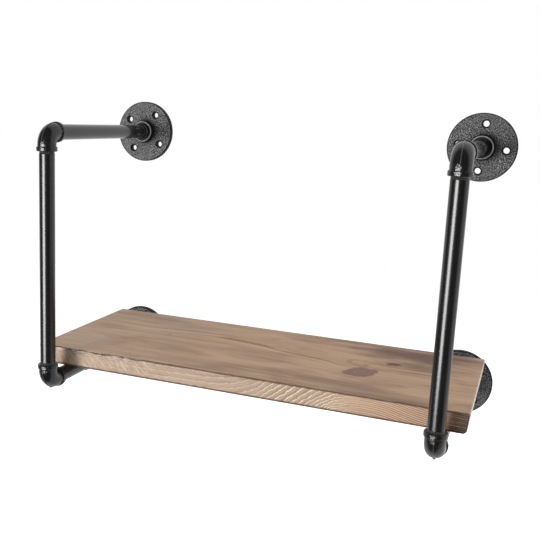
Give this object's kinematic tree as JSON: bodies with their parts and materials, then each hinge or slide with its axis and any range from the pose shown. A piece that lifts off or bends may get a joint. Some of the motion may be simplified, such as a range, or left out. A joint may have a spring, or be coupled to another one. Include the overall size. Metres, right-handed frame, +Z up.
{
  "type": "pipe wall shelf",
  "caption": "Wall shelf with a stained wooden board strapped to the lower arms of black pipe frames, which screw to the wall through round cast flanges.",
  "frame": {"origin": "on the wall plane, midway between the two frames, at the height of the lower flanges' centres", "axes": "+X to the right along the board, +Y towards the wall, +Z up"},
  "size_m": [0.635, 0.3042, 0.4465],
  "materials": {
    "pipe_paint": "satin black paint",
    "elbow_iron": "gloss black, cast skin",
    "flange_iron": "dark grey, grainy cast skin",
    "board_wood": "brown stain, matt",
    "strap_steel": "satin black paint",
    "screw_steel": "black, satin"
  },
  "bodies": {
    "root": {"left_upright": "pipe_paint", "left_upper_flange": "flange_iron", "left_upper_arm": "pipe_paint", "left_upper_elbow": "elbow_iron", "left_lower_flange": "flange_iron", "left_lower_arm": "pipe_paint", "left_lower_elbow": "elbow_iron", "left_front_strap": "strap_steel", "left_front_bar": "strap_steel", "left_rear_strap": "strap_steel", "left_rear_bar": "strap_steel", "right_upright": "pipe_paint", "right_upper_flange": "flange_iron", "right_upper_arm": "pipe_paint", "right_upper_elbow": "elbow_iron", "right_lower_flange": "flange_iron", "right_lower_arm": "pipe_paint", "right_lower_elbow": "elbow_iron", "right_front_strap": "strap_steel", "right_front_bar": "strap_steel", "right_rear_strap": "strap_steel", "right_rear_bar": "strap_steel", "shelf_board": "board_wood", "strap_screws": "screw_steel"}
  },
  "joints": []
}
